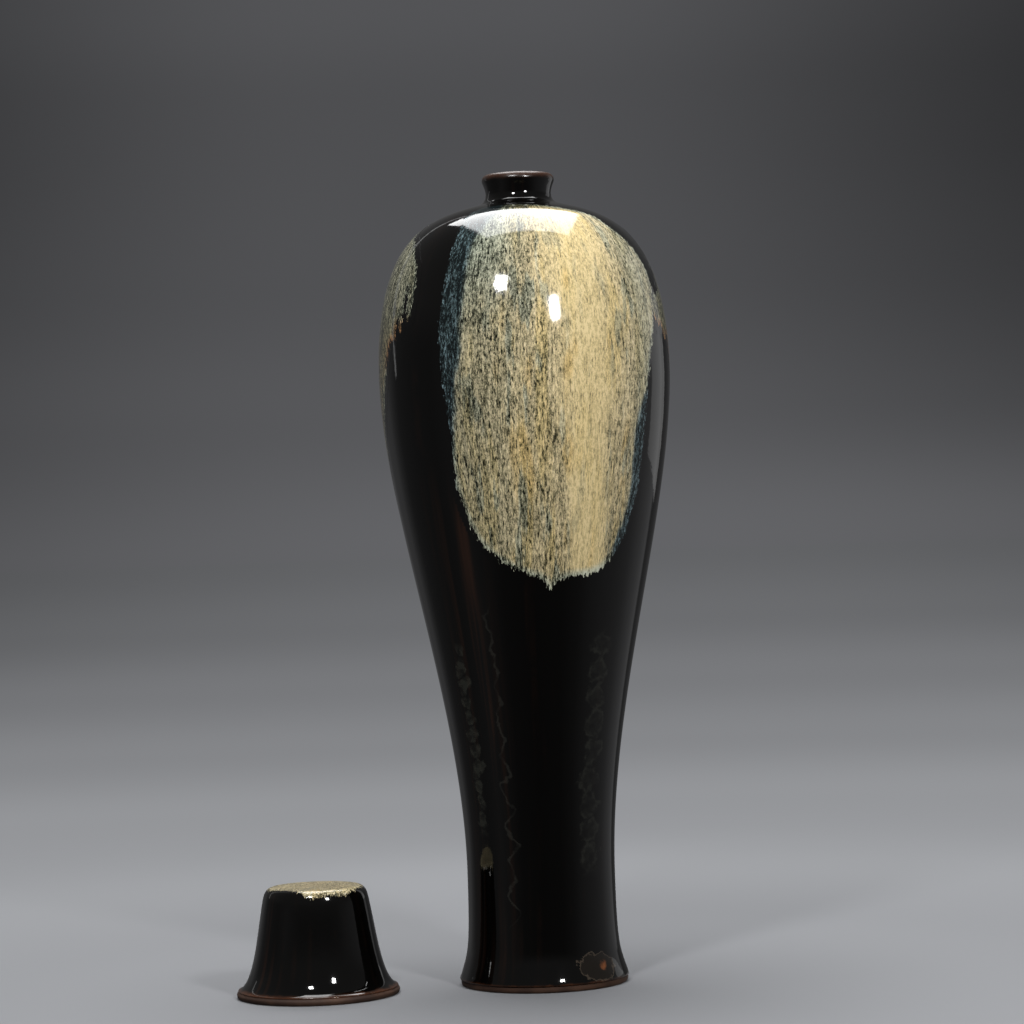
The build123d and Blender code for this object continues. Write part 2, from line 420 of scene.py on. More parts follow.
def black_glaze(wire, look, places, breaks, marks=()):
    """Colour of the black glaze, brown where it breaks over the edges and in faint streaks."""
    rust = linear(look.rust)
    streak = patches(wire, places.down, 14.0, 0.11, 0.55, 0.78, 0.04)
    mottle = wire.noise(places.down, 0.06, 3.0)
    streak = wire.times(streak, wire.spread(mottle, 0.4, 0.7))
    colour = wire.blend(streak, linear(look.black), rust)
    ragged = wire.plus(-1.2, wire.noise(places.point, 0.16, 3.0), 2.4)
    for low, high, strength in breaks:
        edge = wire.spread(wire.plus(places.height, ragged), low, high, 0.0, strength)
        colour = wire.blend(edge, colour, rust)
    for mark in marks:
        colour = mark(wire, look, places, colour)
    return colour


def across(wire, places, azimuth, bend=0.0):
    """How far round the surface a point lies from a line down it, in millimetres."""
    away = wire.minus(places.azimuth, azimuth)
    away = wire.times(away, places.out, math.radians(1.0))
    return wire.plus(away, bend)


def between(wire, value, low, high, soft):
    """One between two limits, and eased to nothing beyond them."""
    rise = wire.spread(value, low - soft, low)
    return wire.times(rise, wire.spread(value, high, high + soft, 1.0, 0.0))


def brown_streaks(azimuth, width, low, high, strength):
    """Brown streaks that run down the pot, side by side."""
    def mark(wire, look, places, colour):
        lines = patches(wire, places.down, 22.0, 0.20, 0.44, 0.66)
        lines = wire.times(lines, between(
            wire, across(wire, places, azimuth), -width / 2, width / 2, width / 2))
        lines = wire.times(lines, between(wire, places.height, low, high, 25.0))
        return wire.blend(wire.times(lines, strength), colour, linear(look.rust))
    return mark


def blotch_column(azimuth, spacing, size, low, high, strength, hollow):
    """A column of faint grey blotches, or of hollow rosettes, down the pot."""
    def mark(wire, look, places, colour):
        wobble = wire.plus(-5.5, wire.noise(places.point, 0.11), 11.0)
        round_way = across(wire, places, azimuth, wobble)
        up_way = wire.math("PINGPONG", wire.plus(places.height, wobble), spacing / 2)
        away = wire.length(round_way, up_way)
        away = wire.plus(away, wire.noise(places.point, 0.35), size * 0.7)
        away = wire.minus(away, size * 0.35)
        shown = wire.spread(away, size * 0.65, size, 1.0, 0.0)
        if hollow:
            rosette = wire.spread(away, size * 0.4, size * 0.85, 0.25, 1.0)
            shown = wire.times(shown, rosette)
        clouds = wire.spread(wire.noise(places.point, 0.25), 0.36, 0.62, 0.2, 1.0)
        shown = wire.times(shown, clouds, between(wire, places.height, low, high, 10.0))
        return wire.blend(wire.times(shown, strength), colour, linear(BLOTCH_GREY))
    return mark


def scalloped_line(azimuth, low, high, strength):
    """The thin pale outline of a faint run in the glaze, scalloped down one side."""
    def mark(wire, look, places, colour):
        scallops = wire.math("PINGPONG", wire.plus(places.height, 5.0), 9.0)
        bend = wire.plus(-7.0, wire.noise(places.point, 0.10, 3.0), 14.0)
        bend = wire.plus(bend, scallops, -0.45)
        away = wire.math("ABSOLUTE", across(wire, places, azimuth, bend))
        line = wire.spread(away, 0.25, 1.2, 1.0, 0.0)
        faint = wire.spread(wire.noise(places.point, 0.14), 0.38, 0.60, 0.25, 1.0)
        line = wire.times(line, faint, between(wire, places.height, low, high, 15.0))
        return wire.blend(wire.times(line, strength), colour, linear(LINE_GREY))
    return mark


def foot_spot(azimuth, height, size):
    """A brown spot where the glaze missed the foot, in a patch with a hairline edge."""
    def mark(wire, look, places, colour):
        up_way = wire.minus(places.height, height)
        round_way = across(wire, places, azimuth)
        ragged = wire.times(wire.noise(places.point, 0.24, 4.0), size * 2.2)
        away = wire.plus(wire.length(round_way, up_way), ragged)
        spot = wire.spread(away, size * 1.1, size * 2.0, 0.85, 0.0)
        patch_way = wire.times(wire.plus(round_way, 4.0), 0.6)
        away = wire.plus(wire.length(patch_way, up_way), ragged)
        patch = wire.spread(away, size * 3.2, size * 3.4, 0.045, 0.0)
        hairline = wire.math("ABSOLUTE", wire.minus(away, size * 3.3))
        hairline = wire.spread(hairline, 0.1, 0.6, 0.24, 0.0)
        colour = wire.blend(wire.larger(patch, hairline), colour, linear(PATCH_GREY))
        return wire.blend(spot, colour, linear(SPOT_BROWN))
    return mark


BODY_MARKS = (
    brown_streaks(-35.0, 9.0, 120.0, 235.0, 0.14),
    brown_streaks(-38.0, 22.0, 20.0, 250.0, 0.05),
    blotch_column(-47.0, 8.8, 4.6, 88.0, 172.0, 0.12, False),
    blotch_column(40.0, 13.6, 7.4, 66.0, 176.0, 0.09, True),
    scalloped_line(-25.5, 45.0, 185.0, 0.06),
    foot_spot(47.0, 11.4, 3.2),
)
CAP_MARKS = (brown_streaks(-46.0, 6.0, 14.0, 42.0, 0.12),)


def glossy(wire, colour, roughness, bumps, bump_distance):
    """A glaze's shader: a smooth glass skin with a faint orange peel."""
    normal = None
    for height, strength in bumps:
        sockets = {"Height": height, "Strength": strength, "Distance": bump_distance}
        if normal:
            sockets["Normal"] = normal
        normal = wire.add("Bump", sockets).outputs[0]
    shader = wire.add("BsdfPrincipled", {
        "Base Color": colour, "Roughness": roughness, "IOR": 1.5, "Normal": normal})
    wire.add("OutputMaterial", {0: shader.outputs[0]})


def coat_material(name, look, breaks, marks, centre=(0.0, 0.0), dull_from=None):
    """The black glaze, glossy but where a lip is rubbed dull."""
    material, wire = new_material(name)
    places = surface_places(wire, centre)
    colour = black_glaze(wire, look, places, breaks, marks)
    roughness = COAT_ROUGHNESS
    if dull_from:
        roughness = wire.spread(
            places.height, dull_from, dull_from + 3.0, COAT_ROUGHNESS, DULL_ROUGHNESS)
    glossy(wire, colour, roughness, [(wire.noise(places.point, 0.35), 0.05)], 0.0004)
    return material


# ---- Splash glaze

# What a splash's vertices carry, in millimetres: how far each lies inside the splash's edge, and
# how far past the line where it turns blue, but no further than BLUE_REACH
EDGE_LAYER = "splash_edge"
BLUE_LAYER = "splash_blue"
BLUE_REACH = 20.0

# A splash's tones from thin to thick: level, red, and green and blue as shares of the red
SPLASH_TONES = (
    (0.00, 0.12, 1.0, 0.80), (0.18, 0.25, 0.98, 0.79), (0.36, 0.41, 0.965, 0.80),
    (0.52, 0.575, 0.955, 0.815), (0.68, 0.705, 0.945, 0.81), (0.84, 0.80, 0.94, 0.80),
    (1.00, 0.89, 0.95, 0.84))
# Its mottle, from medium to fine and broad: scale, how far drawn out, and share
MOTTLE = (
    (1.5, 3.6, 1.40), (2.8, 2.0, 1.00), (0.75, 9.0, 0.78), (0.24, 5.0, 0.40), (0.08, 4.0, 0.28))
# The teeth of its ragged edge in the same way, their share in millimetres
TEETH = ((0.42, 1.6, 4.0), (1.1, 3.0, 6.5))
SPLASH_ROUGHNESS = 0.075
# How thick each kind of splash lies, as a level of the tones
SPLASH_LEVELS = {"front": 0.64, "side": 0.43, "cap": 0.76}
DRIP_TIP = (1.0, 0.80, 0.66)


def splash_mottle(wire, places, rim, kind):
    """The level of the fine mottle, above and below nought, with fine dashes left dark."""
    drawn_out = kind != "cap"
    grain = places.down if drawn_out else places.point
    level = summed_noise(wire, grain, MOTTLE, drawn_out)
    dashes = wire.noise(stretched(wire, grain, 4.5 if drawn_out else 1.0), 1.25, 1.0)
    level = wire.plus(level, wire.spread(dashes, 0.58, 0.66), -0.34)
    return wire.times(level, wire.plus(1.0, rim, 0.5))


def front_patches(wire, places, level, bias, chill, warm):
    """The front splash's thick warm band, and its thinner and bluer places to both sides."""
    wander = wire.noise(stretched(wire, places.down, 6.0), 0.05)
    round_to = wire.plus(places.azimuth, wire.minus(wander, 0.5), 26.0)
    band = wire.spread(
        wire.math("ABSOLUTE", wire.minus(round_to, 25.5)), 3.5,
        wire.spread(places.height, 230.0, 385.0, 10.5, 23.0), 1.0, 0.0)
    leftward = wire.spread(round_to, 10.0, -28.0)
    high = wire.spread(places.height, 318.0, 385.0)
    chilly = wire.times(leftward, wire.plus(0.25, high, 0.75))
    chill = wire.larger(chill, chilly)
    chill = wire.larger(chill, wire.spread(round_to, 38.0, 56.0, 0.0, 0.45))
    chill = wire.times(chill, wire.plus(1.0, band, -0.8))
    warm = wire.larger(warm, wire.times(band, 0.75))
    low_middle = wire.times(
        between(wire, round_to, 0.0, 14.0, 8.0), wire.spread(places.height, 292.0, 262.0))
    high_right = wire.times(
        wire.spread(round_to, 32.0, 40.0), wire.spread(places.height, 290.0, 312.0))
    for patch, thicker in (
            (band, 0.25), (leftward, -0.08), (low_middle, -0.045), (high_right, 0.05),
            (chill, -0.10)):
        bias = wire.plus(bias, patch, thicker)
    level = wire.times(level, wire.plus(1.0, band, -0.35))
    return level, bias, chill, warm


def splash_material(name, look, breaks, kind, centre=(0.0, 0.0)):
    """Pale splash glaze on the front, side or cap: fine dashes run down the pot, bluish where it
    lies thin, ragged at its edge, with the black glaze showing beyond."""
    material, wire = new_material(name)
    places = surface_places(wire, centre)
    height, down = places.height, places.down
    under = black_glaze(wire, look, places, breaks)
    edge = wire.attribute(EDGE_LAYER)
    rim = wire.spread(edge, 0.4, 4.8, 1.0, 0.0)
    level = splash_mottle(wire, places, rim, kind)
    # Where the splash lies thicker and warmer, and where thinner and bluer
    warm = patches(wire, down, 8.0, 0.13, 0.47, 0.60)
    ochre = patches(wire, down, 5.0, 0.11, 0.60, 0.74, 0.6)
    smoky = patches(wire, down, 7.0, 0.24, 0.55, 0.66, 0.6)
    unsteady = wire.noise(stretched(wire, down, 3.0), 0.22, 3.0)
    blue = wire.plus(wire.attribute(BLUE_LAYER), unsteady, 7.0)
    blue = wire.spread(wire.minus(blue, 3.5), -3.4, 2.0)
    chill = wire.larger(blue, smoky)
    bias = wire.plus(SPLASH_LEVELS[kind], smoky, -0.12)
    if kind == "front":
        level, bias, chill, warm = front_patches(wire, places, level, bias, chill, warm)
    bias = wire.plus(bias, blue, -0.30)
    if kind != "cap":
        bias = wire.plus(bias, wire.spread(height, 395.0, 402.0), -0.42)
    level = wire.math("ADD", level, bias, clamp=True)
    tones = wire.ramp(level, [
        (share, linear((red, red * green, red * blue_share)))
        for share, red, green, blue_share in SPLASH_TONES])
    tint = wire.blend(warm, linear(look.cream), linear(look.amber))
    tint = wire.blend(ochre, tint, linear(look.ochre))
    if kind == "side":
        chill = wire.larger(chill, wire.spread(height, 325.0, 352.0, 0.1, 0.6))
        tips = wire.times(rim, between(wire, height, 325.0, 341.0, 8.0))
        tint = wire.blend(tips, tint, linear(DRIP_TIP))
        beyond_tips = wire.minus(1.0, tips)
        chill = wire.times(chill, beyond_tips)
        rim = wire.times(rim, beyond_tips)
    frosted = wire.times(rim, 0.15 if kind == "cap" else 0.8)
    tint = wire.blend(wire.larger(chill, frosted), tint, linear(look.frost))
    tint = wire.blend(blue, tint, linear(look.ink))
    colour = wire.blend(1.0, tones, tint, "MULTIPLY")
    ragged = summed_noise(wire, down, TEETH)
    inside = wire.spread(wire.plus(edge, ragged), -0.2, 0.3)
    colour = wire.blend(inside, under, colour)
    relief = wire.times(inside, level)
    glossy(wire, colour, SPLASH_ROUGHNESS,
           [(wire.noise(places.point, 0.35), 0.05), (relief, 0.06)], 0.0002)
    return material


# ---- Bare clay


def clay_material(look):
    """Bare fired clay: brown and matt, speckled, with fine turning lines."""
    material, wire = new_material("fired_clay")
    point = surface_places(wire).point
    speckle = wire.noise(point, 1.3, 3.0, 0.7)
    clouds = wire.noise(point, 0.07)
    clay = linear(look.clay)
    dark = (clay[0] * 0.42, clay[1] * 0.38, clay[2] * 0.36, 1.0)
    colour = wire.blend(wire.spread(clouds, 0.35, 0.65), dark, clay)
    colour = wire.blend(wire.spread(speckle, 0.60, 0.72, 0.0, 0.7), colour, dark)
    lines = wire.noise(wire.vector("MULTIPLY", point, (0.02, 0.02, 1.0)), 1.2)
    bump = wire.add("Bump", {
        "Height": wire.plus(speckle, lines), "Strength": 0.35, "Distance": 0.0003})
    shader = wire.add("BsdfPrincipled", {
        "Base Color": colour, "Roughness": 0.72, "Normal": bump.outputs[0]})
    wire.add("OutputMaterial", {0: shader.outputs[0]})
    return material


# ---- Splash sheets

# Edges of the splashes, (azimuth in degrees, height in millimetres), in order round each
FRONT_EDGE = [
    (-35, 397), (-30, 401.5), (-12, 402.6), (6, 402.4), (24, 401), (38, 399),
    (50, 396.1), (55.3, 388.9), (60.5, 383.5), (64, 378), (66.5, 372), (68, 366),
    (68.5, 361), (67.5, 355), (65.6, 349), (64, 342.5), (62, 336), (60.2, 329.6),
    (57.5, 321), (55.8, 308), (55, 295), (54.6, 284), (54, 272), (53.4, 256),
    (50.4, 243), (46.8, 231), (41.5, 221.5), (34.7, 215), (26.5, 212.6), (20, 211.8),
    (15, 211), (11.6, 209), (8.6, 205.4), (6.2, 209.2), (3, 211.9), (-0.5, 213.1),
    (-9.7, 218), (-16.5, 222.8), (-22.9, 230.6), (-26.7, 239.3), (-29.4, 249.5),
    (-31.3, 262.2), (-31.2, 282.3), (-32.2, 297.4), (-33.7, 317.6), (-34.6, 337.8),
    (-33.7, 352.9), (-33, 369.1), (-32.9, 381.1), (-33, 391.2),
]
LEFT_EDGE = [
    (-118, 402), (-96, 401), (-83, 395.5), (-73, 388.5), (-65, 385),
    (-58.5, 380), (-53.8, 374), (-50.8, 368), (-49.6, 361.5), (-49.6, 353),
    (-50.5, 346.6), (-51.7, 344.2), (-52.8, 347), (-53.6, 355), (-54.4, 362),
    (-55.2, 359), (-55.5, 350), (-55.9, 342), (-57, 338.6), (-58.4, 341.5),
    (-59.3, 347.5), (-60.2, 343), (-60.9, 336), (-62.3, 333.2), (-64, 335.5),
    (-66.8, 330.3), (-69.5, 318), (-73.2, 305.6), (-78, 292.5), (-82, 283),
    (-87, 266), (-93, 247), (-98, 238.6), (-103.5, 245), (-108, 263),
    (-112, 284), (-116.5, 301), (-124, 317), (-131, 330), (-137, 342),
    (-142, 353), (-144.5, 363), (-143.5, 375), (-139, 387), (-131, 397),
]
RIGHT_EDGE = [
    (118, 402), (100, 401), (89, 395), (84.5, 385), (82.5, 372), (80.5, 361),
    (76, 356.5), (70.5, 355), (65, 353), (62.6, 347.5), (65, 342), (67.4, 338.4),
    (70.2, 339.6), (73.6, 334.4), (76.6, 331.6), (79.6, 336), (84, 327), (88, 315),
    (92, 300), (95.5, 284), (99.5, 262), (105.5, 244.5), (111, 238.6), (116.5, 243.5), (122, 259),
    (126.5, 277), (131, 297), (137, 314), (144, 327), (151, 338),
    (156, 350), (157, 363), (155, 376), (149, 388), (138, 397),
]
# Where the front splash's blue band ends, from its top down
BLUE_EDGE = [
    (-14, 402), (-19, 392), (-22.8, 382.9), (-24.1, 371.4), (-25.1, 357.2), (-25.5, 337),
    (-26.5, 322), (-28.7, 302.2), (-30.3, 287.2), (-32, 270), (-34, 240), (-36, 200),
]
# Where the narrow blue strip along its right edge begins
RIGHT_BLUE_EDGE = [
    (74, 402), (72, 360), (64, 325), (57, 309), (51.5, 297), (49, 283),
    (49, 269), (49, 256.5), (47.5, 245.5), (44.5, 233.4), (42, 226), (44, 217),
    (48, 200),
]
# The cap splash's edge: how far from the axis it reaches along the surface, round the cap
CAP_EDGE = [
    (-180, 26.0), (-155, 25.2), (-130, 26.6), (-105, 25.0), (-80, 24.4), (-60, 23.6), (-42, 22.0),
    (-28, 22.6), (-15, 24.6), (-5, 27.6), (6, 27.2), (21, 26.4), (30, 26.6), (39, 27.0),
    (59, 25.0), (75, 24.4), (100, 25.2), (130, 26.4), (155, 25.0), (180, 26.0),
]
# How far past its edge a splash's sheet runs, in millimetres, for its teeth to show on
VASE_SHEET_REACH = 3.2
CAP_SHEET_REACH = 3.0
# How far the vase's sheets are made before they are trimmed: in degrees, and in millimetres down
SPARE_AROUND = 5
SPARE_BELOW = 4
# The lowest that the cap's splash comes
CAP_SPLASH_LOWEST = 47.0


def smooth_loop(points, parts=8, closed=True):
    """A smooth line through the points, which leaves each the way its neighbours lie."""
    count = len(points)
    line = []
    for i in range(count if closed else count - 1):
        if closed:
            before, here, then, after = (Vector(points[(i + k) % count]) for k in (-1, 0, 1, 2))
        else:
            before, here, then, after = (
                Vector(points[min(max(i + k, 0), count - 1)]) for k in (-1, 0, 1, 2))
        line += interpolate_bezier(
            here, here + (then - before) / 6, then - (after - here) / 6, then, parts + 1)[:-1]
    return [tuple(p)[:2] for p in line]


def read_off(rows, first):
    """The second value of sorted rows at a first value, read off between its neighbours."""
    i = min(max(bisect(rows, (first,)), 1), len(rows) - 1)
    (low, at_low), (high, at_high) = rows[i - 1], rows[i]
    return at_low + (first - low) / (high - low) * (at_high - at_low)


def azimuth_of(place):
    return math.degrees(math.atan2(place.x, -place.y))


def on_surface(azimuth, height, out):
    angle = math.radians(azimuth)
    return Vector((out * math.sin(angle), -out * math.cos(angle), height))


def finder(places):
    """A tree that finds the nearest of some places."""
    tree = KDTree(len(places))
    for i, place in enumerate(places):
        tree.insert(place, i)
    tree.balance()
    return tree


def edge_distances(sheet, edge, rows):
    """How far each vertex lies inside a splash's edge, in millimetres, minus if it is outside."""
    loop = smooth_loop(edge)
    tree = finder([
        on_surface(azimuth, height, read_off(rows, height)) for azimuth, height in loop])
    crossings = {}
    distances = {}
    for vertex in sheet.verts:
        place = vertex.co / MM
        height = round(place.z, 4)
        if height not in crossings:
            crossings[height] = sorted(
                a + (b - a) * (height - low) / (high - low)
                for (a, low), (b, high) in zip(loop, loop[1:] + loop[:1])
                if (low > height) != (high > height))
        side = 1 if bisect(crossings[height], azimuth_of(place)) % 2 else -1
        distances[vertex] = side * tree.find(place)[2]
    return distances


def eased(value, low, high):
    share = min(max((value - low) / (high - low), 0.0), 1.0)
    return share * share * (3 - 2 * share)


def trimmed(sheet, distances, reach):
    """Cuts a sheet back to just past its splash's edge, and turns its faces outwards."""
    outside = [f for f in sheet.faces if all(distances[v] < -reach for v in f.verts)]
    bmesh.ops.delete(sheet, geom=outside, context="FACES")
    bmesh.ops.recalc_face_normals(sheet, faces=sheet.faces)
    outwards = sum(f.normal.dot(f.calc_center_median()) > 0 for f in sheet.faces)
    if outwards < len(sheet.faces) / 2:
        bmesh.ops.reverse_faces(sheet, faces=sheet.faces)


def raised_sheet(sheet, thickness, margin):
    """Gives the sheet its thickness: thin at its margin and swelling gently past the splash's
    edge. Returns the sharp edges round its margin."""
    sheet.normal_update()
    normals = [vertex.normal.copy() for vertex in sheet.verts]
    tree = finder([vertex.co.copy() for vertex in sheet.verts])
    layer = sheet.verts.layers.float[EDGE_LAYER]
    grown = bmesh.ops.extrude_face_region(sheet, geom=sheet.faces[:], use_keep_orig=True)
    tops = [v for v in grown["geom"] if isinstance(v, bmesh.types.BMVert)]
    for top in tops:
        normal = normals[tree.find(top.co)[1]]
        bead = eased(top[layer], -1.8, 3.4)
        top.co += normal * (margin + (thickness - margin) * bead) * MM
    bmesh.ops.recalc_face_normals(sheet, faces=sheet.faces)
    raised = set(tops)
    margins = [f for f in sheet.faces if 0 < sum(v in raised for v in f.verts) < len(f.verts)]
    return [edge for face in margins for edge in face.edges
            if (edge.verts[0] in raised) == (edge.verts[1] in raised)]


def vase_splash(name, edge, node, margin, thickness, material, blue_lines=()):
    """One splash on the shoulder: a thin sheet of the vase's surface out to just past its edge."""
    lowest = min(height for _, height in edge) - SPARE_BELOW
    surface = run([BODY, SHOULDER], 1.0)
    outline = [p for p in surface if p[1] > lowest]
    rows = sorted((height, out) for out, height in surface)
    azimuths = [azimuth for azimuth, _ in edge]
    step = 360 / 512
    start = math.floor((min(azimuths) - SPARE_AROUND) / step) * step
    end = max(azimuths) + SPARE_AROUND
    steps = SPIN_PARTS * math.ceil((end - start) / step / SPIN_PARTS)
    sheet = turned(outline_loop(outline, closed=False), steps, start, steps * step)
    inside = sheet.verts.layers.float.new(EDGE_LAYER)
    blue = sheet.verts.layers.float.new(BLUE_LAYER)
    distances = edge_distances(sheet, edge, rows)
    borders = [
        (side, sorted((height, azimuth) for azimuth, height in smooth_loop(line, closed=False)))
        for side, line in blue_lines]
    for vertex, distance in distances.items():
        vertex[inside] = distance
        vertex[blue] = -BLUE_REACH
        place = vertex.co / MM
        for side, border in borders:
            past = side * (azimuth_of(place) - read_off(border, place.z))
            past *= math.radians(BELLY_RADIUS)
            vertex[blue] = max(vertex[blue], min(past, BLUE_REACH))
    trimmed(sheet, distances, VASE_SHEET_REACH)
    rims = raised_sheet(sheet, thickness, margin)
    piece(name, sheet, "vase", [node], material, sharp=rims)


def cap_splash(thickness, material, centre):
    """The splash on the cap's flat top, which runs a little over its shoulder."""
    flat = [(CAP_FLAT[0] * (1 - k / 26), CAP_HEIGHT) for k in range(1, 27)]
    top = [p for p in run(CAP_SURFACE, 0.6) if p[1] > CAP_SPLASH_LOWEST] + flat
    along = [0.0]
    for near, far in zip(top[::-1], top[-2::-1]):
        along.append(along[-1] + math.dist(near, far))
    ways = list(zip(top[::-1], along))
    sheet = turned(outline_loop(top, closed=False), 224)
    inside = sheet.verts.layers.float.new(EDGE_LAYER)
    blue = sheet.verts.layers.float.new(BLUE_LAYER)
    border = smooth_loop(CAP_EDGE, closed=False) + [CAP_EDGE[-1]]
    distances = {}
    for vertex in sheet.verts:
        place = vertex.co / MM
        out = math.hypot(place.x, place.y)
        reached = min(ways, key=lambda way: abs(way[0][1] - place.z) + abs(way[0][0] - out))[1]
        distances[vertex] = read_off(border, azimuth_of(place)) - reached
        vertex[inside] = distances[vertex]
        vertex[blue] = -BLUE_REACH
    trimmed(sheet, distances, CAP_SHEET_REACH)
    rims = raised_sheet(sheet, thickness, 0.03)
    piece("cap_splash_top", sheet, "cap", ["cap_splash"], material, centre,
          sharp=rims)


# ---- Operators


def other_side(seam):
    point, way = seam
    return point, (-way[0], -way[1])


class VASE_OT_clay(bpy.types.Operator):
    """Model the vase's clay: the lower body, the upper body and the neck, as they were luted"""

    bl_idname = "vase.clay"
    bl_label = "Vase Clay"

    def execute(self, context):
        shape, look = context.scene.vase_shape, context.scene.glaze_look
        coat, wall = shape.coat_thickness / MM, shape.body_wall / MM
        surface = run(VASE_SURFACE, 2.2, coat)
        hollow = run([BODY, SHOULDER], 2.6, coat + wall)
        ground = run([(GROUND_EDGE, OUTWARD, surface[0], UP, (0.35, 0.35))], 0.6)
        heel = (hollow[0][0], HEEL_HEIGHT)
        basin = run([(heel, DOWN, FLOOR_TOP, INWARD, (0.4, 0.65))], 2.0)
        throat = [
            (THROAT_RADIUS, surface[-1][1]), (THROAT_RADIUS, VASE_HEIGHT - THROAT_DEPTH)]
        wall_outline = (
            FOOT_RECESS + ground + surface[1:] + throat + hollow[::-1] + basin[:-1] + [FLOOR_TOP])
        clay = clay_material(look)
        for name, node, cuts in (
                ("lower_clay", "lower_body", [BODY_SEAM]),
                ("upper_clay", "upper_body", [other_side(BODY_SEAM), NECK_SEAM]),
                ("neck_clay", "neck_and_mouth", [other_side(NECK_SEAM)])):
            shell = outline_loop(wall_outline)
            for point, way in cuts:
                cut(shell, point, way)
            bmesh.ops.delete(shell, geom=shell.faces[:], context="FACES_ONLY")
            piece(name, turned(shell, 160), "vase", [node], clay)
        return {"FINISHED"}


class VASE_OT_coat(bpy.types.Operator):
    """Model the vase's black glaze coat, from just above the foot's edge over the lip"""

    bl_idname = "vase.coat"
    bl_label = "Black Glaze Coat"

    def execute(self, context):
        shape, look = context.scene.vase_shape, context.scene.glaze_look
        coat = shape.coat_thickness / MM
        outer = run(VASE_SURFACE, 2.2)
        inner = run(VASE_SURFACE, 4.0, coat)
        material = coat_material(
            "black_glaze", look, VASE_BREAKS, BODY_MARKS, dull_from=DULL_FROM)
        piece("vase_glaze_coat", turned(outline_loop(outer + inner[::-1]), 256), "vase",
              ["body_glaze"], material)
        return {"FINISHED"}


class VASE_OT_splashes(bpy.types.Operator):
    """Model the three pale splashes that run down from the neck"""

    bl_idname = "vase.splashes"
    bl_label = "Splashes"

    def execute(self, context):
        look = context.scene.glaze_look
        thickness = context.scene.vase_shape.splash_thickness / MM
        front = splash_material("front_splash_glaze", look, VASE_BREAKS, "front")
        side = splash_material("side_splash_glaze", look, VASE_BREAKS, "side")
        vase_splash("front_splash_glaze", FRONT_EDGE, "front_splash", 0.03, thickness, front,
                    [(-1, BLUE_EDGE), (1, RIGHT_BLUE_EDGE)])
        vase_splash("left_splash_glaze", LEFT_EDGE, "left_splash", 0.04, thickness, side)
        vase_splash("right_splash_glaze", RIGHT_EDGE, "right_splash", 0.06, thickness, side)
        return {"FINISHED"}


class VASE_OT_cap(bpy.types.Operator):
    """Model the cap: its clay bell, its black glaze and the pale splash on its top"""

    bl_idname = "vase.cap"
    bl_label = "Cap"

    def execute(self, context):
        shape, look = context.scene.vase_shape, context.scene.glaze_look
        centre = (CAP_CENTRE.x, CAP_CENTRE.y)
        coat, wall = shape.coat_thickness / MM, shape.cap_wall / MM
        surface = run(CAP_SURFACE, 1.0, coat)
        crown = inset(CAP_SIDE, coat + wall)[2]
        ceiling = (0.0, CAP_HEIGHT - coat - CAP_TOP_THICKNESS)
        hollow = run([(CAP_RIM_INSIDE, (-1, 1), crown, CAP_LEAN, (0.15, 0.362)),
                      (crown, CAP_LEAN, ceiling, INWARD, (0.1, 0.6))], 1.4)
        rim = run([(CAP_RIM_GROUND, (1.0, 0.35), CAP_RIM, UP, (0.35, 0.35)),
                   (CAP_RIM, UP, surface[0], (-0.8, 1.0), (0.35, 0.35))], 0.4)
        bell = rim + surface[1:] + [(0.0, surface[-1][1])] + hollow[::-1]
        piece("cap_clay", turned(outline_loop(bell), 160), "cap", ["cap_bell"],
              clay_material(look), centre)
        outer = run(CAP_SURFACE, 1.0)
        glaze = outer + [(0.0, outer[-1][1]), (0.0, surface[-1][1])] + surface[::-1]
        black = coat_material("cap_black_glaze", look, CAP_BREAKS, CAP_MARKS, centre)
        piece("cap_glaze_coat", turned(outline_loop(glaze), 224), "cap", ["cap_glaze"],
              black, centre)
        pale = splash_material("cap_splash_glaze", look, CAP_BREAKS, "cap", centre)
        cap_splash(shape.splash_thickness / MM, pale, centre)
        return {"FINISHED"}


# ---- Studio

# The camera, in metres and degrees: the photograph is taken from a little above the foot, and its
# frame leans to the right
CAMERA_PLACE = (-0.0094, -1.6336, 0.2295)
CAMERA_LEAN = 1.95
CAMERA_LENS = 110.0
CAMERA_SHIFT = 0.0303


def lamp(name, place, towards, size, brightness, turn=0.0):
    """A flat lamp of an even brightness, unseen by the camera, facing a point."""
    light = bpy.data.lights.new(name, "AREA")
    light.shape = "RECTANGLE"
    light.size, light.size_y = size
    light.energy = brightness * math.pi * size[0] * size[1]
    stand = bpy.data.objects.new(name, light)
    stand.location = place
    way = Vector(towards) - Vector(place)
    turning = Matrix.Rotation(math.radians(turn), 3, "Z").to_quaternion()
    stand.rotation_mode = "QUATERNION"
    stand.rotation_quaternion = way.to_track_quat("-Z", "Y") @ turning
    stand.visible_camera = False
    bpy.context.scene.collection.objects.link(stand)


def place_from(point, azimuth, climb, distance):
    """The place at a distance from a point, in a direction given in degrees round and up."""
    angle, rise = math.radians(azimuth), math.radians(climb)
    way = Vector((
        math.sin(angle) * math.cos(rise), -math.cos(angle) * math.cos(rise), math.sin(rise)))
    return Vector(point) + distance * way


# How bright the room is round the vase, seen low down: azimuth and brightness
ROOM = (
    (-180, 0.10), (-153, 0.09), (-140, 0.13), (-122, 0.07), (-80, 0.075),
    (-60, 0.11), (-28, 0.045), (0, 0.03), (30, 0.038), (48, 0.07), (60, 0.115), (75, 0.15),
    (90, 0.17), (105, 0.19), (116, 0.225), (138, 0.235), (142, 0.06), (160, 0.06), (180, 0.08))
